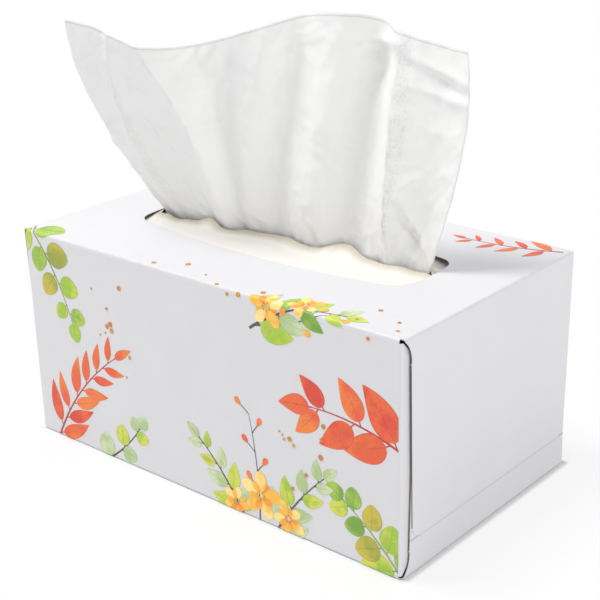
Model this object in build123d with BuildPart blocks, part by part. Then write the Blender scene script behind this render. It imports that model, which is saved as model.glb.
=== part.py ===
from build123d import *
import math
import os

# Tissue box, in millimetres. +X runs along the carton, +Y to its back, +Z up.
# The origin is the middle of the carton's base.

# Carton: outside sizes of the folded box, and the board it is cut from.
carton_length = 230.0
carton_depth = 130.0
carton_height = 108.0
board = 0.5
fold_radius = 1.2              # outside radius of every crease
glue_flap_width = 15.0         # long flap glued inside the back panel
seam_gap = 0.2                 # between the back panel's cut edge and the base crease

# End closure: dust flaps inside, bottom flap over them, top flap outermost.
dust_flap_reach = 52.0         # how far a dust flap comes in from its panel
dust_flap_taper = 8.0          # slope at the root of a dust flap
dust_gap = 0.4                 # the folded board springs this far off the dust flaps
corner_relief = 0.5            # a dust flap's crease stops this far short of the long creases
bottom_flap_height = 62.0
top_flap_rise = 17.0           # height of the top flap's lower edge above the base
flap_inset = 5.0               # an end flap's cut-back side lies this far in from the corner
flap_shoulder = 11.0           # height of the curve that brings the flap in to that inset
flap_draw = 1.5                # each side then leans in by this much towards the flap's free edge
flap_corner_radius = 6.0

# Dispensing opening in the top panel.
opening_end_margin = 33.0      # from the carton's end to the opening
opening_side_margin = 37.0     # from the carton's front to the opening
opening_side_bow = 8.5         # how much the long sides bow outwards
opening_end_bow = 2.5          # how much the short ends bow outwards
opening_corner_radius = 9.0

# Slit film, glued under the top panel.
film_thickness = 0.2
film_glue_margin = 15.0        # glued band round the opening
film_corner_radius = 6.0
slit_overrun = 3.0             # the slit runs this far past each end of the opening
slit_half_gap = 9.5            # the tissue holds the slit open this far each way
slit_end_half_gap = 3.0

# Pad of interfolded tissues.
sheet_width = 210.0            # along the carton
folded_width = 106.0           # across the carton, half of an opened sheet
headspace = 13.0               # air between the pad and the film
pad_crown = 2.5                # the pad's top is this much higher along its middle
pad_edge_radius = 3.0

# Drawn tissue, a soft sheet that stands in the slit.
tissue_thickness = 1.0
tissue_clearance = 0.3         # from the pad below it
opening_clearance = 2.0        # from each end of the opening
tail_reach = 50.0              # how far its tail lies over the pad
tail_inset = 2.0               # the tail is a little narrower than the pad, each side
section_points = 17
# Each section: height above the film, how far the left and right edges flare out past the gathered
# foot, the places of the left and right edges in y, and the depth of its waves.
tissue_sections = (
    (0.0, 0.0, 0.0, -1.0, 0.5, 5.0),
    (12.0, 6.0, 4.0, -8.0, 3.5, 4.5),
    (30.0, 15.5, 7.0, -15.5, 9.0, 4.5),
    (57.0, 27.0, 10.5, -24.0, 16.0, 5.0),
    (84.0, 28.0, 10.5, -32.0, 23.5, 5.0),
    (113.0, 26.0, 4.0, -39.5, 30.0, 5.0),
)
tissue_waves = 2.5             # waves across the sheet
# The tissue's upper edge, from its left corner to its right: distance along the sheet as a share of
# its width, and height above the film.
upper_edge = ((-0.04, 103.0), (0.13, 95.5), (0.34, 90.5), (0.62, 110.5), (0.82, 105.5), (1.04, 94.0))
upper_edge_room = 30.0         # more than the waves reach in depth

# Places that several pieces share.
half_length = carton_length / 2
half_depth = carton_depth / 2
inner_radius = fold_radius - board
bottom_layer = half_length - board                  # outside of the bottom flap
dust_layer = half_length - 2 * board - dust_gap     # outside of the dust flaps
tube_half = dust_layer - fold_radius                # where the front and back panels start to turn
opening_half = half_length - opening_end_margin
opening_depth_half = half_depth - opening_side_margin
film_top = carton_height - board
film_level = film_top - film_thickness
pad_top = film_level - headspace
slit_half = opening_half + slit_overrun


# End closure: the bottom and top panels run on to their own layers, turn, and lie against each other.
# One side of each flap is nearly flush with its corner, and the other is cut back in a curve.
with BuildPart() as closure:
    for layer, base_z, up in ((bottom_layer, 0.0, 1), (half_length, carton_height, -1)):
        turn_x = layer - fold_radius
        turn_z = base_z + up * fold_radius
        with BuildSketch(Plane.XZ.offset(-(half_depth - fold_radius))):
            with BuildLine():
                outer = CenterArc((turn_x, turn_z), fold_radius, 0, -up * 90)
                inner = CenterArc((turn_x, turn_z), inner_radius, 0, -up * 90)
                Line(outer @ 0, inner @ 0)
                Line(outer @ 1, inner @ 1)
            make_face()
            with Locations(((tube_half + turn_x) / 2, base_z + up * board / 2)):
                Rectangle(turn_x - tube_half, board)
        extrude(amount=2 * (half_depth - fold_radius))
        reach = bottom_flap_height if up > 0 else top_flap_rise
        wide = half_depth - fold_radius
        narrow = half_depth - flap_inset
        shoulder = turn_z + up * flap_shoulder
        with BuildSketch(Plane.YZ.offset(layer - board)) as flap:
            with BuildLine():
                ThreePointArc(
                    (-wide, turn_z),
                    (-wide + 0.71 * (wide - narrow), turn_z + up * 0.33 * flap_shoulder),
                    (-narrow, shoulder),
                )
                Polyline(
                    (-narrow, shoulder),
                    (-narrow + flap_draw, reach),
                    (wide - flap_draw, reach),
                    (wide, turn_z),
                    (-wide, turn_z),
                )
            make_face()
            fillet(flap.vertices().filter_by_position(Axis.Y, reach, reach), flap_corner_radius)
        extrude(amount=board)


# Carton: one creased and glued blank. The long panels form a tube, and flaps close its ends.
with BuildPart() as carton:
    # The four long panels and the long glue flap, as one section pulled along the box.
    with BuildSketch(Plane.YZ.offset(-tube_half)) as girth:
        with Locations((0, carton_height / 2)):
            RectangleRounded(carton_depth, carton_height, fold_radius)
            RectangleRounded(
                carton_depth - 2 * board, carton_height - 2 * board, inner_radius, mode=Mode.SUBTRACT
            )
        with Locations((half_depth - 2 * board, board)):
            Rectangle(board, glue_flap_width, align=(Align.MIN, Align.MIN))
        # The back panel is cut off just above the base crease, over the glue flap.
        with Locations((half_depth - board, fold_radius)):
            Rectangle(board, seam_gap, align=(Align.MIN, Align.MIN), mode=Mode.SUBTRACT)
    extrude(amount=2 * tube_half)

    # Dust flaps: the front and back panels turn in behind the end.
    low = fold_radius + corner_relief
    high = carton_height - low
    for side in (-1, 1):
        turn_x = dust_layer - fold_radius
        turn_y = side * (half_depth - fold_radius)
        with BuildSketch(Plane.XY.offset(low)):
            with BuildLine():
                outer = CenterArc((turn_x, turn_y), fold_radius, 0, side * 90)
                inner = CenterArc((turn_x, turn_y), inner_radius, 0, side * 90)
                Line(outer @ 0, inner @ 0)
                Line(outer @ 1, inner @ 1)
            make_face()
        extrude(amount=high - low)
        with BuildSketch(Plane.YZ.offset(dust_layer - board)):
            with BuildLine():
                root = half_depth - fold_radius
                Polyline(
                    (side * root, low),
                    (side * (root - dust_flap_taper), low + dust_flap_taper),
                    (side * (half_depth - dust_flap_reach), low + dust_flap_taper),
                    (side * (half_depth - dust_flap_reach), high - dust_flap_taper),
                    (side * (root - dust_flap_taper), high - dust_flap_taper),
                    (side * root, high),
                    close=True,
                )
            make_face()
        extrude(amount=board)

    mirror(about=Plane.YZ)
    add(closure.part)
    add(closure.part, rotation=(0, 0, 180))

    # The dispensing opening: four shallow arcs with rounded corners.
    corner_x = opening_half - opening_end_bow
    corner_y = opening_depth_half - opening_side_bow
    with BuildSketch(Plane.XY.offset(carton_height - 2 * board)) as opening:
        with BuildLine():
            ThreePointArc((-corner_x, -corner_y), (0, -opening_depth_half), (corner_x, -corner_y))
            ThreePointArc((corner_x, -corner_y), (opening_half, 0), (corner_x, corner_y))
            ThreePointArc((corner_x, corner_y), (0, opening_depth_half), (-corner_x, corner_y))
            ThreePointArc((-corner_x, corner_y), (-opening_half, 0), (-corner_x, -corner_y))
        make_face()
        fillet(opening.vertices(), opening_corner_radius)
    extrude(amount=3 * board, mode=Mode.SUBTRACT)
carton.part.label = "carton"


# Slit film: a flat sheet against the underside of the top panel, its slit held open by the tissue.
with BuildPart() as slit_film:
    with BuildSketch(Plane.XY.offset(film_level)):
        RectangleRounded(
            2 * (opening_half + film_glue_margin),
            2 * (opening_depth_half + film_glue_margin),
            film_corner_radius,
        )
        with BuildLine():
            front = ThreePointArc(
                (-slit_half, -slit_end_half_gap), (0, -slit_half_gap), (slit_half, -slit_end_half_gap)
            )
            back = ThreePointArc(
                (slit_half, slit_end_half_gap), (0, slit_half_gap), (-slit_half, slit_end_half_gap)
            )
            Line(front @ 1, back @ 0)
            Line(back @ 1, front @ 0)
        make_face(mode=Mode.SUBTRACT)
    extrude(amount=film_thickness)
slit_film.part.label = "slit_film"


# Pad of interfolded tissues: soft long edges where the sheets fold, and a slightly crowned top.
with BuildPart() as tissue_stack:
    with BuildSketch(Plane.YZ.offset(-sheet_width / 2)) as pad_section:
        half_pad = folded_width / 2
        with BuildLine():
            Line((-half_pad, board), (half_pad, board))
            Line((half_pad, board), (half_pad, pad_top - pad_crown))
            ThreePointArc((half_pad, pad_top - pad_crown), (0, pad_top), (-half_pad, pad_top - pad_crown))
            Line((-half_pad, pad_top - pad_crown), (-half_pad, board))
        make_face()
        fillet(pad_section.vertices(), pad_edge_radius)
    extrude(amount=sheet_width)
tissue_stack.part.label = "tissue_stack"


def tissue_line(height, left_x, right_x, left_y, right_y, wave):
    """Points of one level of the drawn tissue's middle, from its left edge to its right."""
    points = []
    for step in range(section_points):
        share = step / (section_points - 1)
        x = left_x + (right_x - left_x) * share
        y = left_y + (right_y - left_y) * share
        y -= wave * math.sin(math.pi * share) * math.cos(2 * math.pi * tissue_waves * share)
        points.append((x, y, height))
    return points


# Drawn tissue: its tail lies over the pad, and the sheet narrows to the slit and fans out above it.
tail_level = pad_top + tissue_clearance
gathered_half = opening_half - opening_clearance
with BuildPart() as drawn_tissue:
    tail_half = sheet_width / 2 - tail_inset
    levels = [tissue_line(tail_level + tissue_thickness / 2, -tail_half, tail_half, 0, 0, 0)]
    for rise, left_flare, right_flare, left_y, right_y, wave in tissue_sections:
        levels.append(
            tissue_line(
                film_level + rise,
                -gathered_half - left_flare,
                gathered_half + right_flare,
                left_y,
                right_y,
                wave,
            )
        )
    for level in levels:
        front_points = [(x, y - tissue_thickness / 2) for x, y, z in level]
        back_points = [(x, y + tissue_thickness / 2) for x, y, z in level]
        with BuildSketch(Plane.XY.offset(level[0][2])):
            with BuildLine():
                front = Spline(*front_points)
                back = Spline(*back_points)
                Line(front @ 0, back @ 0)
                Line(front @ 1, back @ 1)
            make_face()
    loft(ruled=True)
    # Trim the top to the sheet's upper edge.
    with BuildSketch(Plane.XZ.offset(-(half_depth + upper_edge_room))):
        with BuildLine():
            edge_left = -gathered_half - tissue_sections[-1][1]
            edge_right = gathered_half + tissue_sections[-1][2]
            edge_points = [
                (edge_left + (edge_right - edge_left) * share, film_level + rise)
                for share, rise in upper_edge
            ]
            rim = Spline(*edge_points)
            Polyline(
                rim @ 1,
                ((rim @ 1).X, film_level + 2 * tissue_sections[-1][0]),
                ((rim @ 0).X, film_level + 2 * tissue_sections[-1][0]),
                rim @ 0,
            )
        make_face()
    extrude(amount=2 * (half_depth + upper_edge_room), mode=Mode.SUBTRACT)
    # The tail, flat over the middle of the pad.
    with BuildSketch(Plane.XY.offset(tail_level)):
        with Locations((0, -tissue_thickness)):
            Rectangle(2 * tail_half, tail_reach, align=(Align.CENTER, Align.MIN))
    extrude(amount=tissue_thickness)
drawn_tissue.part.label = "drawn_tissue"


os.makedirs("parts", exist_ok=True)
for piece in (carton, slit_film, tissue_stack, drawn_tissue):
    export_step(piece.part, f"parts/{piece.part.label}.step")
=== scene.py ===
# %% [markdown]
# # A tissue box with one tissue drawn up
# The object is a folded paperboard carton with an oblong opening, a slit film under the opening, a pad of
# interfolded tissues inside, and one sheet standing in the slit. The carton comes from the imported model
# and keeps its shape. The soft pieces are modelled here, and so is the print on the board.

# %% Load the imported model
import math
import random

import bmesh
import bpy
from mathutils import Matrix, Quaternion, Vector, noise


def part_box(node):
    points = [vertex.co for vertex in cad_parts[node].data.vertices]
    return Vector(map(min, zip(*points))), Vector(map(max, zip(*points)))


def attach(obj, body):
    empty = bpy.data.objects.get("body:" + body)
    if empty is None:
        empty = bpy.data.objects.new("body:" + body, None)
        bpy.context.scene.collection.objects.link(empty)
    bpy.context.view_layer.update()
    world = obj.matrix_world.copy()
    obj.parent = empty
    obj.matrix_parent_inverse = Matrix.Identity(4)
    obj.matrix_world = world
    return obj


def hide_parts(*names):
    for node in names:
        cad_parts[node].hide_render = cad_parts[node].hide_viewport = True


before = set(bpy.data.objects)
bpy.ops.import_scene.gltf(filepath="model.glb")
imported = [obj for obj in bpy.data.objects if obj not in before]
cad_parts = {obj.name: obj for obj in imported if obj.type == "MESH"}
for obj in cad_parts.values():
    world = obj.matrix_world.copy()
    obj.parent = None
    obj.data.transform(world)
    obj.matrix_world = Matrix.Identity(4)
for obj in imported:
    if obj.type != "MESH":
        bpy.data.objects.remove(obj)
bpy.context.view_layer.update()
mm = 0.001

carton_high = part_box("carton")[1]
half_length = carton_high.x
half_depth = carton_high.y
height = carton_high.z
film_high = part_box("slit_film")[1]
pad_low, pad_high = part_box("tissue_stack")
tissue_low, tissue_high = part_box("drawn_tissue")
print("carton half length, half depth, height:", half_length, half_depth, height)

# %% [markdown]
# ## The camera
# A long lens a good half metre away keeps the carton's edges almost parallel, as in a catalogue picture.
# The camera circles the carton by an azimuth and an elevation, and leans by a small roll.

# %% Camera
camera_azimuth = math.radians(40.9)
camera_elevation = math.radians(21.5)
camera_roll = math.radians(-1.43)
camera_distance = 0.645
camera_aim = Vector((0.0, 7.4 * mm, 74.8 * mm))

camera_data = bpy.data.cameras.new("camera")
camera_data.lens = 80.3
camera_data.sensor_width = 36.0
camera = bpy.data.objects.new("camera", camera_data)
bpy.context.scene.collection.objects.link(camera)
camera_back = Vector((
    math.sin(camera_azimuth) * math.cos(camera_elevation),
    -math.cos(camera_azimuth) * math.cos(camera_elevation),
    math.sin(camera_elevation),
))
camera.location = camera_aim + camera_distance * camera_back
camera.rotation_mode = "QUATERNION"
camera.rotation_quaternion = camera_back.to_track_quat("Z", "Y") @ Quaternion((0, 0, 1), camera_roll)
bpy.context.scene.camera = camera
bpy.context.scene.view_settings.view_transform = "Standard"
print("camera at", [round(value, 3) for value in camera.location])

# %% [markdown]
# ## Shader arithmetic
# Materials are easier to read as sums than as wires. `Value` wraps one output socket, and its operators
# add the Math nodes. `Finish` owns a material, and its `node` method makes every other node.


# %% Shader helpers
class Value:
    """One output socket, with the arithmetic that the finishes use."""

    def __init__(self, finish, socket):
        self.finish = finish
        self.socket = socket

    def __add__(self, other):
        return self.finish.math("ADD", self, other)

    __radd__ = __add__

    def __sub__(self, other):
        return self.finish.math("SUBTRACT", self, other)

    def __rsub__(self, other):
        return self.finish.math("SUBTRACT", other, self)

    def __mul__(self, other):
        return self.finish.math("MULTIPLY", self, other)

    __rmul__ = __mul__

    def __truediv__(self, other):
        return self.finish.math("DIVIDE", self, other)

    def __abs__(self):
        return self.finish.math("ABSOLUTE", self)


class Finish:
    """A material, its Principled shader, and the nodes that feed it."""

    def __init__(self, name, constants):
        self.material = bpy.data.materials.new(name)
        self.material.use_nodes = True
        self.tree = self.material.node_tree
        self.shader = self.tree.nodes["Principled BSDF"]
        self.output = self.tree.nodes["Material Output"]
        for socket, value in constants.items():
            self.shader.inputs[socket].default_value = value

    def node(self, kind, settings, inputs, output=0):
        made = self.tree.nodes.new(kind)
        for key, value in settings.items():
            if key == "stops":
                ramp = made.color_ramp
                while len(ramp.elements) < len(value):
                    ramp.elements.new(0.5)
                for element, (position, colour) in zip(ramp.elements, value):
                    element.position = position
                    element.color = (*colour, 1.0)
            else:
                setattr(made, key, value)
        for key, value in inputs.items():
            if isinstance(value, Value):
                self.tree.links.new(value.socket, made.inputs[key])
            else:
                made.inputs[key].default_value = value
        return Value(self, made.outputs[output])

    def math(self, operation, *values):
        return self.node("ShaderNodeMath", {"operation": operation}, dict(enumerate(values)))

    def mix(self, factor, first, second):
        """Colour between first and second."""
        first, second = [c if isinstance(c, Value) else (*c, 1.0) for c in (first, second)]
        settings = {"data_type": "RGBA", "clamp_factor": True}
        return self.node("ShaderNodeMix", settings, {0: factor, 6: first, 7: second}, output=2)

    def step(self, value, low, high):
        """0 below low, 1 above high, smooth between."""
        settings = {"interpolation_type": "SMOOTHSTEP"}
        return self.node("ShaderNodeMapRange", settings, {0: value, 1: low, 2: high})

    def coordinates(self, kind="Object"):
        return self.node("ShaderNodeTexCoord", {}, {}, output=kind)

    def uv(self, name):
        return self.node("ShaderNodeUVMap", {"uv_map": name}, {})

    def attribute(self, name, output="Color"):
        return self.node("ShaderNodeAttribute", {"attribute_name": name}, {}, output=output)

    def axes(self, vector):
        return [self.node("ShaderNodeSeparateXYZ", {}, {0: vector}, output=i) for i in range(3)]

    def stretch(self, vector, scale):
        """The vector with each axis scaled, so that a pattern is longer one way."""
        return self.node("ShaderNodeMapping", {}, {"Vector": vector, "Scale": scale})

    def noise(self, vector, scale, detail=2.0, roughness=0.5):
        inputs = {"Vector": vector, "Scale": scale, "Detail": detail, "Roughness": roughness}
        return self.node("ShaderNodeTexNoise", {}, inputs, output="Fac")

    def cells(self, vector, scale, randomness=1.0):
        inputs = {"Vector": vector, "Scale": scale, "Randomness": randomness}
        return self.node("ShaderNodeTexVoronoi", {}, inputs, output="Distance")

    def bump(self, height_value, distance, strength=1.0):
        inputs = {"Height": height_value, "Distance": distance, "Strength": strength}
        self.feed("Normal", self.node("ShaderNodeBump", {}, inputs))

    def feed(self, socket, value):
        self.tree.links.new(value.socket, self.shader.inputs[socket])

    def blend(self, other, share):
        """Mix the Principled shader with another shader, which gets the share."""
        own = Value(self, self.shader.outputs[0])
        surface = self.node("ShaderNodeMixShader", {}, {0: share, 1: own, 2: other})
        self.tree.links.new(surface.socket, self.output.inputs["Surface"])


def finish_object(piece, finish):
    """Give a piece its finish as its only material."""
    piece.data.materials.clear()
    piece.data.materials.append(finish.material)


# %% [markdown]
# ## The studio
# A pale floor, a pale surround and large soft lamps. The lamps stay at a level at which white board reads
# as white without burning out. To the camera the floor is nearly plain white, and it keeps a dark line
# under the carton's edges and a faint shadow round them.


# %% Lamps, surround and floor
def soft_lamp(name, place, aim, size, power):
    lamp = bpy.data.lights.new(name, "AREA")
    lamp.shape = "DISK"
    lamp.size = size
    lamp.energy = power
    holder = bpy.data.objects.new(name, lamp)
    holder.location = place
    holder.rotation_mode = "QUATERNION"
    holder.rotation_quaternion = (Vector(place) - Vector(aim)).to_track_quat("Z", "Y")
    bpy.context.scene.collection.objects.link(holder)


soft_lamp("key_lamp", place=(-0.99, -0.48, 1.89), aim=(0, 0, 0.1), size=0.80, power=27.5)
soft_lamp("end_fill", place=(1.35, -0.1, 0.5), aim=(0, 0, 0.08), size=1.0, power=4.6)

world = bpy.data.worlds.new("surround")
world.use_nodes = True
bpy.context.scene.world = world
surround = world.node_tree
background = surround.nodes["Background"]
background.inputs["Color"].default_value = (1.0, 1.0, 1.0, 1.0)
light_path = surround.nodes.new("ShaderNodeLightPath")
seen_directly = surround.nodes.new("ShaderNodeMath")
seen_directly.operation = "MAXIMUM"
surround.links.new(light_path.outputs["Is Camera Ray"], seen_directly.inputs[0])
surround.links.new(light_path.outputs["Is Glossy Ray"], seen_directly.inputs[1])
surround_level = surround.nodes.new("ShaderNodeMapRange")
surround_level.inputs["To Min"].default_value = 0.68
surround_level.inputs["To Max"].default_value = 1.0
surround.links.new(seen_directly.outputs[0], surround_level.inputs["Value"])
surround.links.new(surround_level.outputs[0], background.inputs["Strength"])

floor_reach = 6.0
floor_mesh = bpy.data.meshes.new("floor")
floor_form = bmesh.new()
bmesh.ops.create_grid(floor_form, x_segments=1, y_segments=1, size=floor_reach)
floor_form.to_mesh(floor_mesh)
floor_form.free()
floor = bpy.data.objects.new("floor", floor_mesh)
bpy.context.scene.collection.objects.link(floor)

floor_finish = Finish("studio_floor", {"Roughness": 0.9, "Base Color": (0.80, 0.80, 0.81, 1.0)})
floor_x, floor_y, _ = floor_finish.axes(floor_finish.coordinates())
past_end = floor_finish.math("MAXIMUM", abs(floor_x) - half_length, 0.0)
past_side = floor_finish.math("MAXIMUM", abs(floor_y) - half_depth, 0.0)
floor_distance = floor_finish.math("SQRT", past_end * past_end + past_side * past_side)
floor_white = floor_finish.node("ShaderNodeEmission", {}, {"Color": (1.0, 1.0, 1.0, 1.0)})
floor_path = floor_finish.node("ShaderNodeLightPath", {}, {}, output="Is Camera Ray")
near_white = 0.80 * floor_finish.step(floor_distance, 0.3 * mm, 3.0 * mm)
far_white = 0.20 * floor_finish.step(floor_distance, 5 * mm, 60 * mm)
floor_share = floor_path * (near_white + far_white)
floor_finish.blend(floor_white, floor_share)
finish_object(floor, floor_finish)
print("lamps:", [item.name for item in bpy.data.lights])

# %% [markdown]
# ## Coated board
# The carton is white coated board. Its outside is smooth and satin; its cut edges and its inside are raw,
# brownish board, painted darker than it is so that it also carries the shade at the cut edges and inside.
# One material tells them apart by asking whether a face looks outwards at the box's skin.
# Near each crease the coating is slightly strained, which shows as a faint grey line. A painted shade lies
# under the free edge of the outer end flaps.

# %% Board finish
board = Finish("coated_board", {"IOR": 1.45, "Coat Roughness": 0.3})
board_place = board.coordinates()
board_x, board_y, board_z = board.axes(board_place)
normal_x, normal_y, normal_z = board.axes(board.coordinates("Normal"))
centred_z = board_z - height / 2
outward = (
    normal_x * board_x / half_length
    + normal_y * board_y / half_depth
    + normal_z * centred_z / (height / 2)
)
coated = board.step(outward, 0.965, 0.985)

from_ends = half_length - abs(board_x)
from_sides = half_depth - abs(board_y)
from_base = height / 2 - abs(centred_z)
nearest = board.math("MINIMUM", board.math("MINIMUM", from_ends, from_sides), from_base)
farthest = board.math("MAXIMUM", board.math("MAXIMUM", from_ends, from_sides), from_base)
crease_distance = from_ends + from_sides + from_base - nearest - farthest

mottle = board.noise(board_place, 700.0, detail=3.0)
cloud = board.noise(board_place, 45.0, detail=2.0)
rub = board.noise(board_place, 260.0, detail=4.0)
strained = 1 - board.step(crease_distance, 0.3 * mm, 1.5 * mm)
strained *= 0.25 + 0.75 * board.step(rub, 0.35, 0.65)
bead = board.step(crease_distance, 1.6 * mm, 2.2 * mm)
bead *= 1 - board.step(crease_distance, 2.3 * mm, 3.0 * mm)

white_side = board.mix(cloud, (0.71, 0.71, 0.73), (0.74, 0.74, 0.76))
white_side = board.mix(0.10 * mottle, white_side, (0.64, 0.64, 0.67))
white_side = board.mix(0.35 * strained, white_side, (0.54, 0.54, 0.56))
flap_end = 17.0 * mm
# Painted shade: a dark band on the board just under the outer end flaps' free edge.
painted_flap_shade = board.step(board_z, 15.4 * mm, flap_end)
painted_flap_shade *= 1 - board.step(board_z, flap_end, 17.1 * mm)
painted_flap_shade *= board.step(abs(board_x), half_length - 0.8 * mm, half_length - 0.6 * mm)
painted_flap_shade *= 1 - board.step(abs(board_x), half_length - 0.4 * mm, half_length - 0.2 * mm)
white_side = board.mix(0.6 * painted_flap_shade, white_side, (0.30, 0.30, 0.31))
fibre_place = board.stretch(board_place, (1.0, 1.0, 3.5))
fibre = board.noise(fibre_place, 1500.0, detail=3.0)
# Raw board, painted darker than raw board is, so that it also carries the shade at cut edges and inside
# the box.
raw_board_and_shade = board.mix(fibre, (0.13, 0.105, 0.075), (0.26, 0.22, 0.16))
board.feed("Base Color", board.mix(coated, raw_board_and_shade, white_side))
board.feed("Roughness", 0.92 - 0.46 * coated + 0.10 * mottle)
board.feed("Coat Weight", 0.18 * coated)
board.bump(0.35 * mottle + 0.9 * cloud + 0.5 * bead + 0.8 * fibre * (1 - coated), 0.12 * mm, strength=0.6)
finish_object(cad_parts["carton"], board)
print("board finish nodes:", len(board.tree.nodes))

# %% [markdown]
# ## The print
# The board is printed flat and folded afterwards, so the design is drawn flat too. Every motif is made of
# brush strokes: a grid shaped along a curved centre line. The strokes are drawn on a flat blank, where one
# axis runs along the carton and the other runs up the front, over the top and down the back. The finished
# drawing is then cut at the creases and folded round the carton, a hair above the board.

# %% The flat blank and its fold
crease_radius = 1.2 * mm
print_margin = 2.6 * mm
crease_run = crease_radius * math.pi / 2
front_run = height - crease_radius
top_run = 2 * (half_depth - crease_radius)
top_start = front_run + crease_run
back_start = top_start + top_run + crease_run
blank_girth = back_start + front_run
print_half = half_length - print_margin
print("length of the blank round the carton:", round(blank_girth, 4))


def fold_on(along, girth, lift):
    """The place on the carton of a point of the flat blank: girth starts at the front panel's foot."""
    over = half_depth - crease_radius
    if girth < front_run:
        return Vector((along, -half_depth - lift, girth))
    if girth < top_start:
        angle = (girth - front_run) / crease_radius
        reach = crease_radius + lift
        return Vector((along, -over - reach * math.cos(angle), front_run + reach * math.sin(angle)))
    if girth < top_start + top_run:
        return Vector((along, -over + girth - top_start, height + lift))
    if girth < back_start:
        angle = (girth - top_start - top_run) / crease_radius
        reach = crease_radius + lift
        return Vector((along, over + reach * math.sin(angle), front_run + reach * math.cos(angle)))
    return Vector((along, half_depth + lift, front_run - (girth - back_start)))


# %% Brush strokes on the flat blank
# Lifts above the board, in millimetres. Strokes of one layer lie at slightly different levels.
lowest_lift = 0.02
layer_lift = 0.05
stroke_lift = 0.001
lift_cycle = 47
foot_trim = 0.5 * mm
crease_cuts = 5
ink_thickness = 0.01 * mm


class Drawing:
    """One printed piece while it is still flat: strokes with their own UV map and colour."""

    def __init__(self, name, layer):
        self.name = name
        self.layer = layer
        self.form = bmesh.new()
        self.stroke_map = self.form.loops.layers.uv.new("stroke")
        self.ink = self.form.verts.layers.float_color.new("ink")
        self.light_ink = self.form.verts.layers.float_color.new("light_ink")
        self.count = 0

    def stroke(self, line, half_width, ink, steps, across=2):
        """A stroke along line(t), half_width(t) wide each way; line gives a flat point for t of 0 to 1."""
        made = bmesh.ops.create_grid(self.form, x_segments=steps, y_segments=across, size=1.0)["verts"]
        self.count += 1
        lift = (lowest_lift + layer_lift * self.layer + stroke_lift * (self.count % lift_cycle)) * mm
        for vert in made:
            t = min(max((vert.co.x + 1) / 2, 0.0), 1.0)
            side = vert.co.y
            ahead = line(min(t + 0.01, 1.0)) - line(max(t - 0.01, 0.0))
            left = Vector((-ahead.y, ahead.x)).normalized()
            place = line(t) + side * half_width(t) * left
            for loop in vert.link_loops:
                loop[self.stroke_map].uv = (t, side * 0.5 + 0.5)
            vert[self.ink] = (*inks[ink][0], (self.count * 0.37) % 1.0)
            vert[self.light_ink] = (*inks[ink][1], 1.0)
            vert.co = Vector((place.x, place.y, lift))

    def cut(self, place, outside, clear):
        """Cut the drawing along a plane, and clear what lies outside the plane if asked."""
        geometry = self.form.verts[:] + self.form.edges[:] + self.form.faces[:]
        bmesh.ops.bisect_plane(
            self.form, geom=geometry, plane_co=place, plane_no=outside, clear_outer=clear
        )

    def fold(self, slot="carton_board"):
        """Cut the drawing at the panels' edges and at the creases, and fold it round the carton."""
        self.cut((print_half, 0, 0), (1, 0, 0), clear=True)
        self.cut((-print_half, 0, 0), (-1, 0, 0), clear=True)
        self.cut((0, foot_trim, 0), (0, -1, 0), clear=True)
        self.cut((0, blank_girth - foot_trim, 0), (0, 1, 0), clear=True)
        for start in (front_run, back_start - crease_run):
            for part in range(crease_cuts):
                place = (0, start + crease_run * part / (crease_cuts - 1), 0)
                self.cut(place, (0, 1, 0), clear=False)
        bmesh.ops.dissolve_degenerate(self.form, dist=0.01 * mm, edges=self.form.edges[:])
        for vert in self.form.verts:
            vert.co = fold_on(vert.co.x, vert.co.y, vert.co.z)
        bmesh.ops.recalc_face_normals(self.form, faces=self.form.faces[:])
        mesh = bpy.data.meshes.new(self.name)
        self.form.to_mesh(mesh)
        self.form.free()
        piece = bpy.data.objects.new(self.name, mesh)
        bpy.context.scene.collection.objects.link(piece)
        shell = piece.modifiers.new("ink_film", "SOLIDIFY")
        shell.thickness = ink_thickness
        shell.offset = 1.0
        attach(piece, "root")
        print(self.name, "strokes:", self.count, "faces:", len(mesh.polygons))
        return piece


def arc_line(start, heading, length, curl):
    """A flat line that leaves start at an angle and turns by curl over its length, both in degrees."""
    start = Vector(start)
    turn = math.radians(curl)
    first = math.radians(heading)

    def line(t):
        if abs(turn) < 1e-4:
            return start + length * t * Vector((math.cos(first), math.sin(first)))
        radius = length / turn
        angle = first + turn * t
        across = math.sin(angle) - math.sin(first)
        up = math.cos(first) - math.cos(angle)
        return start + radius * Vector((across, up))

    return line


# %% [markdown]
# ## Leaves, blossoms and dots
# The design is a generic one of sprays: feathery ones with many slender leaflets in orange-red, trailing
# ones with coin-shaped leaves in lime and sage, small five-petalled yellow blossoms, and ochre dots. A
# spray is a curved stem with leaves set along it.

# %% Inks and drawings
inks = {
    "lime": ((0.34, 0.56, 0.02), (0.66, 0.72, 0.07)),
    "leaf_green": ((0.16, 0.36, 0.02), (0.40, 0.60, 0.05)),
    "olive": ((0.30, 0.36, 0.02), (0.62, 0.50, 0.03)),
    "sage": ((0.42, 0.58, 0.24), (0.66, 0.76, 0.46)),
    "red": ((0.72, 0.035, 0.008), (0.88, 0.12, 0.012)),
    "orange": ((0.82, 0.09, 0.008), (0.93, 0.22, 0.015)),
    "yellow": ((0.98, 0.50, 0.03), (1.0, 0.80, 0.28)),
    "gold": ((0.92, 0.30, 0.01), (0.98, 0.52, 0.04)),
    "ochre": ((0.60, 0.20, 0.006), (0.74, 0.30, 0.015)),
    "stem_brown": ((0.06, 0.045, 0.03), (0.10, 0.08, 0.05)),
    "stem_red": ((0.42, 0.015, 0.008), (0.55, 0.03, 0.01)),
    "stem_green": ((0.20, 0.27, 0.04), (0.33, 0.40, 0.10)),
}
chance = random.Random(11)
stems = Drawing("print_stems", 0)
leaves = Drawing("print_leaves", 1)
blossoms = Drawing("print_blossoms", 2)
dots = Drawing("print_dots", 3)


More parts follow.
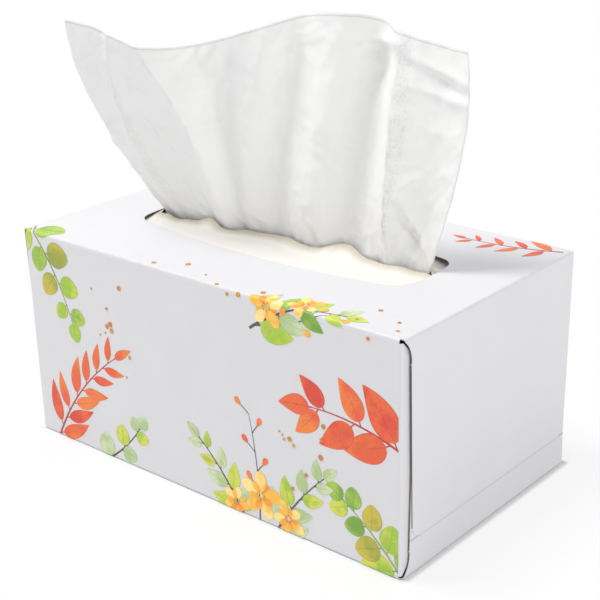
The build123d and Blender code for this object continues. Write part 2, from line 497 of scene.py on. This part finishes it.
def coin_leaf(length):
    return lambda t: 0.43 * length * math.sin(math.pi * t ** 0.80) ** 0.58


def lance_leaf(length):
    return lambda t: 0.175 * length * math.sin(math.pi * t ** 0.72) ** 0.90 * (1 - 0.10 * t)


def broad_leaf(length):
    return lambda t: 0.29 * length * math.sin(math.pi * t ** 0.70) ** 0.85 * (1 - 0.12 * t)


def petal(width):
    return lambda t: width * math.sin(math.pi * t ** 1.5) ** 0.6


def taper(width):
    return lambda t: width * (1 - 0.65 * t)


def leaf(place, heading, length, form, ink, stem_ink, curl=14.0):
    """One leaf on a short stalk."""
    stalk = arc_line(place, heading, 0.12 * length, 0)
    stems.stroke(stalk, lambda t: 0.32 * mm, stem_ink, 2)
    leaves.stroke(arc_line(stalk(0.9), heading, length, curl), form(length), ink, 26, across=10)


def spray(root, heading, length, curl, pairs, size, form, colours, stem_ink, spread=52.0, shrink=0.5):
    """A stem with leaves set in near-pairs that shrink towards its tip, and a leaf at the tip."""
    line = arc_line(root, heading, length, curl)
    stems.stroke(line, taper(0.65 * mm), stem_ink, 30)
    for pair in range(pairs):
        t = 0.14 + 0.76 * pair / max(pairs - 1, 1)
        for side in (-1, 1):
            at = min(t + side * 0.035, 0.97)
            angle = heading + curl * at + side * (spread + chance.uniform(-8, 8))
            blade = size * (1 - shrink * t) * chance.uniform(0.88, 1.08)
            ink = colours[(pair + (side > 0)) % len(colours)]
            leaf(line(at), angle, blade, form, ink, stem_ink, curl=-side * chance.uniform(8, 24))
    leaf(line(1.0), heading + curl, size * (1 - shrink) * 1.1, form, colours[0], stem_ink, curl=curl / 3)


def twig(root, heading, length, curl, buds, stem_ink, ink):
    """A bare twig with small buds at the ends of short side stalks."""
    line = arc_line(root, heading, length, curl)
    stems.stroke(line, taper(0.45 * mm), stem_ink, 20)
    for bud in range(buds):
        t = 0.30 + 0.70 * bud / max(buds - 1, 1)
        side = -1 if bud % 2 else 1
        angle = heading + curl * t + side * 38
        stalk = arc_line(line(t), angle, 5.5 * mm, side * 12)
        stems.stroke(stalk, lambda t: 0.26 * mm, stem_ink, 4)
        blossoms.stroke(arc_line(stalk(0.95), angle, 5.0 * mm, 0), petal(1.5 * mm), ink, 10, across=4)


def blossom(place, radius, petals, tilt):
    """A small open flower: two rings of petals round an ochre middle."""
    for ring, (share, ink) in enumerate(((1.0, "yellow"), (0.62, "gold"))):
        for index in range(petals):
            angle = tilt + 360 * (index + 0.5 * ring) / petals + chance.uniform(-7, 7)
            length = radius * share * chance.uniform(0.88, 1.08)
            start = arc_line(place, angle, 0.8 * mm, 0)(1.0)
            line = arc_line(start, angle, length, chance.uniform(-14, 14))
            blossoms.stroke(line, petal(length * 0.30), ink, 12, across=6)
    for index in range(7):
        angle = 360 * index / 7 + tilt
        dot(arc_line(place, angle, radius * 0.20, 0)(1.0), 0.5 * mm, "ochre")


def dot(place, radius, ink):
    """A round spot of ink."""
    start = Vector(place) - Vector((radius, 0))
    bulge = chance.uniform(0.8, 1.0) * radius

    def half_width(t):
        return bulge * math.sqrt(max(1 - (2 * t - 1) ** 2, 0.0))

    dots.stroke(arc_line(start, 0, 2 * radius, 0), half_width, ink, 12, across=4)


def scatter(centre, spread, count, sizes=(0.5, 1.45)):
    """Loose dots round a place."""
    for _ in range(count):
        place = Vector(centre) + Vector((chance.gauss(0, spread[0]), chance.gauss(0, spread[1])))
        dot(place, chance.uniform(*sizes) * mm, "ochre")


def flat(along, girth):
    """A place on the flat blank, given in millimetres."""
    return Vector((along * mm, girth * mm))


# %% [markdown]
# ## The layout
# A tall feathery spray climbs from the front's left foot, coin leaves trail from the upper left crease,
# blossoms stand in sage at the right of the foot, and broad red leaves reach in from the right end. One
# spray crosses the top crease. The back has its own arrangement, so the box looks finished from behind.

# %% Front and top
spray(flat(-104, -6), 66, 78 * mm, -30, 6, 25 * mm, lance_leaf,
      ("orange", "red", "orange"), "stem_red", spread=48)
spray(flat(-117, 118), -42, 62 * mm, -30, 4, 18 * mm, coin_leaf,
      ("lime", "leaf_green", "olive"), "stem_green", spread=62)
spray(flat(-70, -5), 30, 40 * mm, 24, 3, 15 * mm, coin_leaf,
      ("sage", "sage", "lime"), "stem_brown", spread=60)
scatter(flat(-58, 62), (13 * mm, 13 * mm), 11)

spray(flat(28, -4), 118, 44 * mm, 22, 4, 17 * mm, broad_leaf, ("sage", "lime"), "stem_brown")
spray(flat(44, -5), 62, 48 * mm, -18, 4, 18 * mm, broad_leaf, ("sage", "sage", "lime"), "stem_brown")
twig(flat(36, 0), 88, 52 * mm, 14, 5, "stem_brown", "orange")
blossom(flat(37, 13), 11 * mm, 5, 12)
blossom(flat(53, 7), 8.5 * mm, 5, 40)
blossom(flat(22, 5), 8 * mm, 5, 70)

spray(flat(117, 58), 158, 50 * mm, 26, 3, 27 * mm, broad_leaf,
      ("red", "orange"), "stem_red", spread=50, shrink=0.42)
spray(flat(117, -2), 128, 44 * mm, 20, 4, 18 * mm, coin_leaf,
      ("leaf_green", "lime", "olive"), "stem_green", spread=62)
scatter(flat(66, 48), (11 * mm, 11 * mm), 10)

spray(flat(34, 93), 38, 52 * mm, -30, 4, 19 * mm, broad_leaf, ("lime", "sage", "leaf_green"), "stem_brown")
twig(flat(36, 95), 10, 44 * mm, 22, 4, "stem_brown", "gold")
blossom(flat(44, 105), 9.5 * mm, 5, 20)
blossom(flat(61, 113), 8 * mm, 5, 55)
scatter(flat(10, 112), (13 * mm, 6 * mm), 7)
scatter(flat(96, 118), (8 * mm, 8 * mm), 5)

spray(flat(-100, 232), -70, 24 * mm, 34, 3, 12 * mm, broad_leaf, ("lime", "sage"), "stem_brown")
twig(flat(-112, 226), -20, 26 * mm, -24, 4, "stem_brown", "gold")
spray(flat(112, 232), 205, 46 * mm, -26, 4, 15 * mm, lance_leaf, ("orange", "red"), "stem_red")
print("leaves on the front and top:", leaves.count)

# %% Back
foot = blank_girth / mm
spray(flat(-104, foot + 4), -66, 74 * mm, 28, 6, 24 * mm, lance_leaf,
      ("red", "orange"), "stem_red", spread=48)
spray(flat(112, foot - 12), -150, 66 * mm, 30, 4, 18 * mm, coin_leaf,
      ("lime", "leaf_green", "olive"), "stem_green", spread=62)
spray(flat(20, foot + 4), -70, 46 * mm, -24, 4, 18 * mm, broad_leaf, ("sage", "lime"), "stem_brown")
spray(flat(4, foot + 4), -112, 40 * mm, 24, 3, 16 * mm, broad_leaf, ("sage",), "stem_brown")
twig(flat(12, foot), -92, 46 * mm, 16, 5, "stem_brown", "orange")
blossom(flat(14, foot - 14), 10.5 * mm, 5, 15)
blossom(flat(30, foot - 8), 8 * mm, 5, 50)
spray(flat(-117, foot - 100), -20, 46 * mm, 26, 3, 22 * mm, broad_leaf,
      ("lime", "leaf_green"), "stem_green")
scatter(flat(-30, foot - 52), (22 * mm, 13 * mm), 12)
scatter(flat(66, foot - 40), (14 * mm, 12 * mm), 8)
print("leaves in all:", leaves.count)

# %% [markdown]
# ## Watercolour ink
# Water carries pigment to a stroke's rim and leaves the middle pale and cloudy. The stroke's own map gives
# the distance to the rim and to the midrib, so the ink gathers there, and fine veins branch off the rib.


# %% Ink finish
def ink_finish(name, veins):
    ink = Finish(name, {"IOR": 1.45, "Coat Weight": 0.12, "Coat Roughness": 0.3})
    place = ink.coordinates()
    along, across, _ = ink.axes(ink.uv("stroke"))
    from_rib = abs(across - 0.5) * 2
    deep = ink.attribute("ink")
    light = ink.attribute("light_ink")
    own_shade = ink.attribute("ink", output="Alpha")
    wash = ink.noise(place, 150.0, detail=5.0, roughness=0.6)
    pool = ink.noise(place, 60.0, detail=2.0)
    grain = ink.noise(place, 1700.0, detail=2.0)
    shade = 0.50 * wash + 0.50 * pool + 0.14 * (own_shade - 0.5) + 0.10 * (along - 0.5)
    colour = ink.mix(ink.step(shade, 0.40, 0.60), deep, light)
    dark = ink.node("ShaderNodeVectorMath", {"operation": "MULTIPLY"}, {0: deep, 1: (0.66, 0.52, 0.50)})
    if veins:
        bent = along * 7.5 - from_rib * 2.4 + 0.5 * wash
        vein = ink.step(abs(ink.math("FRACT", bent) - 0.5), 0.40, 0.49)
        vein *= 1 - ink.step(from_rib, 0.55, 0.92)
        rib = 1 - ink.step(from_rib, 0.02, 0.09)
        strength = ink.step(pool, 0.30, 0.60)
        colour = ink.mix((0.42 * vein + 0.62 * rib * (1 - 0.6 * along)) * strength, colour, dark)
        blot = ink.step(wash, 0.54, 0.66) * (1 - ink.step(from_rib, 0.35, 0.80))
        colour = ink.mix(0.40 * blot, colour, dark)
    rim = ink.step(from_rib + 0.16 * wash, 0.94, 1.10)
    colour = ink.mix(0.45 * rim, colour, dark)
    colour = ink.mix(0.07 * grain, colour, (0.95, 0.95, 0.92))
    ink.feed("Base Color", colour)
    ink.feed("Roughness", 0.42 + 0.16 * wash)
    ink.bump(0.5 * grain + 0.5 * wash, 0.02 * mm, strength=0.4)
    return ink


leaf_ink = ink_finish("leaf_ink", veins=True)
line_ink = ink_finish("line_ink", veins=False)
for drawing, finish in ((stems, line_ink), (leaves, leaf_ink), (blossoms, line_ink), (dots, line_ink)):
    finish_object(drawing.fold(), finish)


# %% [markdown]
# ## Placing soft sheets
# A soft sheet starts as a flat grid. One function says where each point of the flat sheet goes, and a
# second map keeps the flat place, so that fibres and embossing follow the paper and not the room.

# %% Sheet helper
def soft_sheet(name, columns, rows, place, thickness, node):
    """A grid whose point (a, b), each from 0 to 1, goes to place(a, b); it stands for a CAD node."""
    form = bmesh.new()
    sheet_map = form.loops.layers.uv.new("sheet")
    bmesh.ops.create_grid(form, x_segments=columns, y_segments=rows, size=1.0)
    for vert in form.verts:
        a, b = (vert.co.x + 1) / 2, (vert.co.y + 1) / 2
        for loop in vert.link_loops:
            loop[sheet_map].uv = (a, b)
        vert.co = place(a, b)
    mesh = bpy.data.meshes.new(name)
    form.to_mesh(mesh)
    form.free()
    for polygon in mesh.polygons:
        polygon.use_smooth = True
    piece = bpy.data.objects.new(name, mesh)
    bpy.context.scene.collection.objects.link(piece)
    shell = piece.modifiers.new("thickness", "SOLIDIFY")
    shell.thickness = thickness
    shell.offset = 0.0
    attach(piece, "root")
    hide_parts(node)
    return piece


def ease(value, low=0.0, high=1.0):
    """0 below low, 1 above high, smooth between."""
    t = min(max((value - low) / (high - low), 0.0), 1.0)
    return t * t * (3 - 2 * t)


def through(start, middle, end, t):
    """A curve through three values, at 0, one half and 1."""
    return start * (1 - t) * (1 - 2 * t) + middle * 4 * t * (1 - t) + end * t * (2 * t - 1)


# %% [markdown]
# ## The drawn tissue
# The sheet stands in the slit, gathered to the slit's length, and fans out above it. Its two side edges
# are curves, and the rest hangs between them. Folds are added as ridges: each has a path across the sheet,
# a height, and a slope on either side. Small creases are short ridges along a line.

# %% Drawn tissue: outline
sheet_width = 210 * mm
sheet_length = 205 * mm
drawn_length = 112 * mm
tail_length = sheet_length - drawn_length
slit_level = film_high.z
left_places = ((-77.5, -2, 0), (-96.5, -16, 33.5), (-110.5, -30, 69), (-99, -39, 99.5))
right_places = ((79, 3, 0), (84, 9, 26), (91, 20, 62), (79, 28, 91.5))
left_edge = [Vector(place) * mm for place in left_places]
right_edge = [Vector(place) * mm for place in right_places]


def bezier(points, t):
    u = 1 - t
    return u ** 3 * points[0] + 3 * u * u * t * points[1] + 3 * u * t * t * points[2] + t ** 3 * points[3]


# %% Drawn tissue: folds
# Each ridge: its path (share of the width at the slit, half way and top), its height in millimetres at
# the same three levels, its slope widths to the left and right, and how rounded its crest is. Every
# height is then raised by the gain.
ridge_gain = 1.35
ridges = (
    ((0.09, 0.11, 0.15), (3.5, 4.5, 3.0), 0.045, 0.050, 1.15),
    ((0.285, 0.335, 0.245), (6.5, 9.0, 7.0), 0.130, 0.040, 1.15),
    ((0.335, 0.385, 0.36), (-3.0, -3.0, -2.0), 0.030, 0.055, 1.8),
    ((0.37, 0.46, 0.53), (4.0, 4.5, 2.8), 0.050, 0.060, 1.4),
    ((0.46, 0.54, 0.585), (-2.5, -3.0, -2.0), 0.055, 0.055, 2.0),
    ((0.62, 0.66, 0.68), (6.0, 6.5, 4.0), 0.100, 0.070, 1.9),
    ((0.71, 0.745, 0.785), (-3.0, -4.5, -5.0), 0.055, 0.045, 1.8),
    ((0.872, 0.832, 0.82), (5.0, 6.5, 4.5), 0.038, 0.055, 1.05),
    ((0.94, 0.93, 0.93), (-1.5, -2.0, -1.5), 0.045, 0.050, 2.0),
)
# Each crease: where it starts and ends (share of the width, share of the drawn length), its height in
# millimetres and its half width in millimetres.
creases = (
    ((0.00, 0.37), (0.07, 0.26), 2.6, 4.0),
    ((0.07, 0.26), (0.08, 0.12), 3.2, 4.0),
    ((0.08, 0.12), (0.06, 0.02), 2.0, 3.0),
    ((0.73, 0.89), (0.84, 0.955), 3.0, 3.0),
    ((0.72, 0.86), (0.81, 0.90), -1.6, 3.4),
    ((0.81, 0.90), (0.765, 0.74), -3.6, 5.0),
    ((0.84, 0.92), (1.01, 0.85), 2.0, 2.4),
    ((0.85, 0.80), (1.01, 0.765), 1.7, 2.2),
    ((0.86, 0.88), (0.99, 0.80), -1.4, 2.4),
    ((0.86, 0.66), (0.99, 0.60), 1.2, 4.5),
    ((0.87, 0.34), (0.93, 0.19), 2.6, 2.4),
    ((0.93, 0.19), (1.00, 0.03), 2.4, 2.2),
    ((0.88, 0.24), (0.97, 0.05), -2.4, 2.6),
    ((0.89, 0.12), (0.95, 0.03), 1.6, 1.8),
    ((0.22, 0.02), (0.25, 0.11), -2.2, 2.6),
    ((0.12, 0.10), (0.21, 0.05), 1.4, 2.4),
    ((0.36, 0.16), (0.45, 0.06), 2.0, 2.4),
    ((0.38, 0.07), (0.50, 0.03), -1.3, 2.2),
    ((0.63, 0.02), (0.60, 0.15), -2.6, 2.4),
    ((0.66, 0.03), (0.74, 0.02), -1.4, 2.4),
    ((0.92, 0.46), (0.87, 0.38), 1.4, 2.4),
    ((0.44, 0.60), (0.52, 0.74), 0.7, 3.0),
    ((0.13, 0.62), (0.21, 0.74), 0.6, 3.4),
    ((0.60, 0.93), (0.70, 0.88), 0.7, 2.6),
)


def ridge_height(s, h, path, heights, left, right, crest):
    away = s - through(*path, h)
    away /= left if away < 0 else right
    return through(*heights, h) * math.exp(-abs(away) ** crest)


def crease_height(s, h, start, end, rise, half_width):
    """A short crease, highest at its middle, on the sheet laid flat."""
    point = Vector((s * sheet_width, h * drawn_length)) / mm
    first = Vector((start[0] * sheet_width, start[1] * drawn_length)) / mm
    run = Vector((end[0] * sheet_width, end[1] * drawn_length)) / mm - first
    t = min(max((point - first).dot(run) / run.length_squared, 0.0), 1.0)
    away = (point - first - t * run).length / half_width
    return rise * (0.45 + 0.55 * math.sin(math.pi * t)) * math.exp(-away ** 1.4)


def wrinkle(s, h, across, along, seed):
    """Fine sharp-crested wrinkles that run up the sheet, from 0 to 1."""
    bend = 0.35 * noise.noise(Vector((s * 6, h * 4, seed)))
    value = noise.noise(Vector(((s + bend * 0.1) * across, (h + bend) * along, seed + 5.0)))
    return (1 - abs(value)) ** 5


def fold_depth(s, h):
    """How far the sheet stands out of its plain surface, in millimetres."""
    rise = ridge_gain * sum(ridge_height(s, h, *ridge) for ridge in ridges)
    rise += sum(crease_height(s, h, *crease) for crease in creases)
    low = 1 - ease(h, 0.02, 0.30)
    pleats = math.sin(95 * s + 2.2 * math.sin(11 * s)) * low
    crumple = noise.noise(Vector((s * 13, h * 7, 3.1)))
    fine = noise.noise(Vector((s * 34, h * 19, 8.4)))
    lines = wrinkle(s, h, 26, 5, 2.0) * (0.5 + 0.9 * low) + 0.5 * wrinkle(s, h, 11, 9, 7.0)
    return rise + 0.6 * pleats + 1.0 * crumple + 0.45 * fine + 1.0 * lines


# %% Drawn tissue: the whole sheet
def lean(s, h):
    """The sheet leans forward left of its middle and back right of it, more towards its top."""
    forward = math.exp(-(((s - 0.31) / 0.165) ** 2))
    backward = math.exp(-(((s - 0.68) / 0.20) ** 2))
    reach = h ** 1.6
    return reach * (9 * backward - 11 * forward) * mm, reach * (12.5 * backward - 7.0 * forward) * mm


def tissue_place(a, b):
    up = b * sheet_length - tail_length
    if up >= 0:
        h = up / drawn_length
        left, right = bezier(left_edge, h), bezier(right_edge, h)
        chord = right - left
        outwards = Vector((chord.y, -chord.x, 0)).normalized()
        back, rise = lean(a, h)
        grip = 0.55 + 0.45 * ease(h, 0.0, 0.25)
        place = left + a * chord + fold_depth(a, h) * grip * mm * outwards
        return place + Vector((0, back, rise + slit_level))
    down = -up
    foot = tissue_place(a, tail_length / sheet_length)
    wide = (a - 0.5) * (tissue_high.x - tissue_low.x - 3 * mm)
    spread = ease(down, 0.0, 26 * mm)
    drop = slit_level - tissue_low.z - 1.0 * mm
    flat_y, flat_z = tail_section(down, drop)
    ripple = 0.5 * mm * math.sin(60 * a) * spread
    x = foot.x * (1 - spread) + wide * spread
    y = foot.y * (1 - ease(down, 0.0, drop)) + flat_y
    settled = ease(down, 0.0, 2 * mm)
    z = foot.z * (1 - settled) + (slit_level - flat_z) * settled + abs(ripple)
    return Vector((x, y, z))


def tail_section(down, drop):
    """How far back and down the tail is: it drops, lies over the pad and folds back."""
    over = 46 * mm
    turn = 1.2 * mm
    if down < drop:
        return 0.0, down
    run = down - drop
    if run < over:
        return run, drop
    arc = (run - over) / turn
    if arc < math.pi:
        return over + turn * math.sin(arc), drop - turn * (1 - math.cos(arc))
    return over - (run - over - math.pi * turn), drop - 2 * turn


tissue = soft_sheet("tissue_sheet", 172, 168, tissue_place, 0.22 * mm, "drawn_tissue")
print("drawn tissue faces:", len(tissue.data.polygons))

# %% [markdown]
# ## Tissue paper
# Tissue is a soft mat of fibres with a fine crepe across it, and two narrow bands of tiny embossed dots
# press its plies together, with painted shade in each dot. It lets some light through, which is why its
# folds look soft.


# %% Tissue finish
light_through_paper = 0.36


def tissue_finish():
    paper = Finish("tissue_paper", {"Roughness": 0.95, "Specular IOR Level": 0.25, "Sheen Weight": 0.15})
    flat_place = paper.uv("sheet")
    across, along, _ = paper.axes(flat_place)
    flat_mm = paper.stretch(flat_place, (sheet_width / mm, sheet_length / mm, 1.0))
    fibres = paper.noise(paper.stretch(flat_mm, (1.0, 0.45, 1.0)), 1.1, detail=5.0, roughness=0.65)
    crepe = paper.noise(paper.stretch(flat_mm, (0.35, 2.4, 1.0)), 0.9, detail=3.0)
    cloud = paper.noise(flat_mm, 0.07, detail=3.0)
    band_right = 1 - paper.step(abs(across - 0.845), 0.014, 0.018)
    band_left = 1 - paper.step(abs(across - 0.115), 0.014, 0.018)
    band = paper.math("MAXIMUM", band_right, band_left)
    dimple_relief_and_shade = 1 - paper.step(paper.cells(flat_mm, 0.85, randomness=0.55), 0.18, 0.48)
    colour = paper.mix(cloud, (0.955, 0.955, 0.95), (0.975, 0.975, 0.97))
    colour = paper.mix(0.09 * fibres, colour, (0.86, 0.86, 0.855))
    # Painted shade in the hollows of the embossed dots.
    colour = paper.mix(0.30 * band * dimple_relief_and_shade, colour, (0.78, 0.78, 0.775))
    # Painted shade: a thin dark line just below the sheet's top edge, along the edge of one ply.
    ply_edge_shade = paper.step(along, 0.9915, 0.9930) * (1 - paper.step(along, 0.9945, 0.9960))
    colour = paper.mix(0.45 * ply_edge_shade, colour, (0.62, 0.62, 0.615))
    paper.feed("Base Color", colour)
    relief = 0.40 * fibres + 0.35 * crepe + 0.3 * cloud - 1.2 * band * dimple_relief_and_shade
    paper.bump(relief, 0.30 * mm, strength=0.55)
    glow = paper.node("ShaderNodeBsdfTranslucent", {}, {"Color": colour})
    paper.blend(glow, light_through_paper)
    return paper


tissue_paper = tissue_finish()
finish_object(tissue, tissue_paper)

# %% [markdown]
# ## The slit film
# The film is a thin cream plastic glued under the board. Its slit is held open by the tissue: both lips
# are pushed aside and up, and shallow wrinkles run along them. Near the lips the film is clearer, so the
# tissue behind it shows through, and a painted beige shade stands for the gap between film and tissue.

# %% Slit film
slit_half = half_length - 31.5 * mm
lip_levels = (0.0, 1.5, 3.0, 4.5)  # millimetres above the slit
# The folds of each lip: place along the slit, width and height, in millimetres.
front_folds = ((-42, 7, 3.4), (34, 9, 3.6), (8, 20, 0.8))
back_folds = ((-15, 14, 2.0),)
film_half_x = film_high.x
film_half_y = film_high.y


def tissue_line_at_slit():
    """The drawn sheet's line at the slit: each place, and how far the sheet reaches front and back."""
    line = []
    for step in range(241):
        share = step / 240
        places = [tissue_place(share, (tail_length + up * mm) / sheet_length) for up in lip_levels]
        line.append((places[0].x, min(p.y for p in places), max(p.y for p in places)))
    return line


slit_line = tissue_line_at_slit()


def tissue_reach(x, front):
    """How far the tissue stands to the front or back at a place along the slit."""
    near = [entry for entry in slit_line if abs(entry[0] - x) < 1.6 * mm]
    if not near:
        near = [slit_line[0] if x < 0 else slit_line[-1]]
    return min(entry[1] for entry in near) if front else max(entry[2] for entry in near)


def lip_shape(x, front):
    """Where a lip's edge is, and how high it stands: it leans on the tissue, and rises over its folds."""
    share = max(1 - (x / slit_half) ** 2, 0.0)
    reach = sum(tissue_reach(x + shift * mm, front) for shift in (-3, -1.5, 0, 1.5, 3)) / 5
    gap = (1.0 if front else -1.0) * 1.1 * mm
    closed = ease(abs(x), slit_half - 6 * mm, slit_half)
    folds = sum(
        size * math.exp(-(((x / mm - middle) / width) ** 2))
        for middle, width, size in (front_folds if front else back_folds)
    )
    rise = (1.6 + folds + 0.35 * math.sin(0.23 * x / mm)) * share ** 0.5 * mm
    return (reach - gap) * (1 - closed), rise


def film_half(front):
    """Place of a point of the front or back half: a along the slit, b from the glued edge to the lip."""
    sign = -1 if front else 1
    glued = 0.20

    def place(a, b):
        x = (2 * a - 1) * film_half_x
        lip, rise = lip_shape(x, front)
        y = sign * film_half_y + (lip - sign * film_half_y) * b
        free = ease(b, glued, 0.45)
        ends = ease(abs(x), slit_half - 26 * mm, slit_half - 4 * mm)
        ends *= 1 - ease(abs(x), slit_half + 4 * mm, film_half_x)
        sag = (0.2 if front else 1.0) + 1.6 * ends
        wrinkle_height = 0.7 * noise.noise(Vector((x / mm * 0.09, y / mm * 0.05, 2.0 + sign)))
        fans = 0.22 * math.sin(0.50 * x / mm + 0.10 * y / mm) * ease(b, 0.5, 1.0)
        z = -sag * free * (1 - ease(b, 0.55, 1.0)) + (wrinkle_height + fans) * free * 0.8
        return Vector((x, y, film_high.z - 0.1 * mm + z * mm + rise * ease(b, 0.80, 1.0)))

    return place


film_front = soft_sheet("film_front_lip", 150, 34, film_half(True), 0.06 * mm, "slit_film")
film_back = soft_sheet("film_back_lip", 150, 34, film_half(False), 0.06 * mm, "slit_film")


light_through_film = 0.10


def film_finish():
    film = Finish("cream_film", {"IOR": 1.5, "Specular IOR Level": 0.5})
    place = film.coordinates()
    haze = film.noise(place, 60.0, detail=3.0)
    streak = film.noise(film.stretch(place, (60.0, 420.0, 200.0)), 1.0, detail=3.0)
    _, towards_lip, _ = film.axes(film.uv("sheet"))
    # Painted shade: towards the lips the film is painted beige for the shade in the gap behind it; it is
    # also clearer there.
    lip = film.step(towards_lip, 0.84, 0.97)
    cream = film.mix(haze, (0.945, 0.925, 0.86), (0.97, 0.955, 0.905))
    film.feed("Base Color", film.mix(0.8 * lip, cream, (0.93, 0.85, 0.69)))
    film.feed("Alpha", 0.95 + 0.04 * haze - 0.36 * lip)
    film.feed("Roughness", 0.28 + 0.2 * haze)
    film.bump(0.6 * streak + 0.4 * haze, 0.4 * mm, strength=0.5)
    glow = film.node("ShaderNodeBsdfTranslucent", {}, {"Color": (0.96, 0.92, 0.82, 1.0)})
    film.blend(glow, light_through_film)
    return film


cream_film = film_finish()
for lip in (film_front, film_back):
    finish_object(lip, cream_film)
print("film faces:", len(film_front.data.polygons) + len(film_back.data.polygons))

# %% [markdown]
# ## The pad of tissues
# The pad is a stack of folded sheets. Its long sides show the rounded folds and its ends show the cut
# edges, so the block's sides are drawn in and out, layer by layer, and its top is slightly crowned.

# %% Pad
pad_form = bmesh.new()
bmesh.ops.create_cube(pad_form, size=1.0)
layers = 64
pad_margin = 3 * mm
for axis, cuts in ((2, layers), (0, 40), (1, 20)):
    run = [edge for edge in pad_form.edges
           if abs(edge.verts[0].co[axis] - edge.verts[1].co[axis]) > 0.9]
    bmesh.ops.subdivide_edges(pad_form, edges=run, cuts=cuts - 1, use_grid_fill=True)
pad_size = pad_high - pad_low
pad_middle = (pad_high + pad_low) / 2
block_x = pad_size.x - pad_margin
block_y = pad_size.y - pad_margin
for vert in pad_form.verts:
    x, y, z = vert.co * 2
    layer = round((vert.co.z + 0.5) * layers)
    shift = 1.2 * mm * noise.noise(Vector((x * 1.5, y * 1.5, layer * 0.9)))
    tuck = (0.5 if layer % 2 else 0.0) * mm
    crown = 2.2 * mm * (y * y) * ease(vert.co.z, -0.5, 0.5)
    side = Vector((x if abs(x) > 0.999 else 0.0, y if abs(y) > 0.999 else 0.0, 0.0))
    scaled = Vector((vert.co.x * block_x, vert.co.y * block_y, vert.co.z * pad_size.z))
    vert.co = pad_middle + scaled + side * (shift - tuck) - Vector((0, 0, crown))
pad_mesh = bpy.data.meshes.new("tissue_pad")
bmesh.ops.recalc_face_normals(pad_form, faces=pad_form.faces[:])
pad_form.to_mesh(pad_mesh)
pad_form.free()
pad = bpy.data.objects.new("tissue_pad", pad_mesh)
bpy.context.scene.collection.objects.link(pad)
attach(pad, "root")
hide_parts("tissue_stack")


def pad_finish():
    paper = Finish("pad_paper", {"Specular IOR Level": 0.25})
    place = paper.coordinates()
    sheet_bands_and_shade = paper.noise(paper.stretch(place, (20.0, 20.0, 2600.0)), 1.0, detail=3.0)
    fibres = paper.noise(place, 1100.0, detail=4.0, roughness=0.65)
    # Painted shade: the sides are banded lighter and darker, layer by layer, for the shade between the
    # stacked sheets.
    colour = paper.mix(paper.step(sheet_bands_and_shade, 0.35, 0.7), (0.80, 0.80, 0.79), (0.93, 0.93, 0.925))
    paper.feed("Base Color", paper.mix(0.12 * fibres, colour, (0.80, 0.80, 0.79)))
    paper.feed("Roughness", 0.9 + 0.08 * fibres)
    paper.bump(0.6 * sheet_bands_and_shade + 0.4 * fibres, 0.3 * mm, strength=0.7)
    return paper


finish_object(pad, pad_finish())
print("pad faces:", len(pad_mesh.polygons))

# %% Update the scene
bpy.context.view_layer.update()
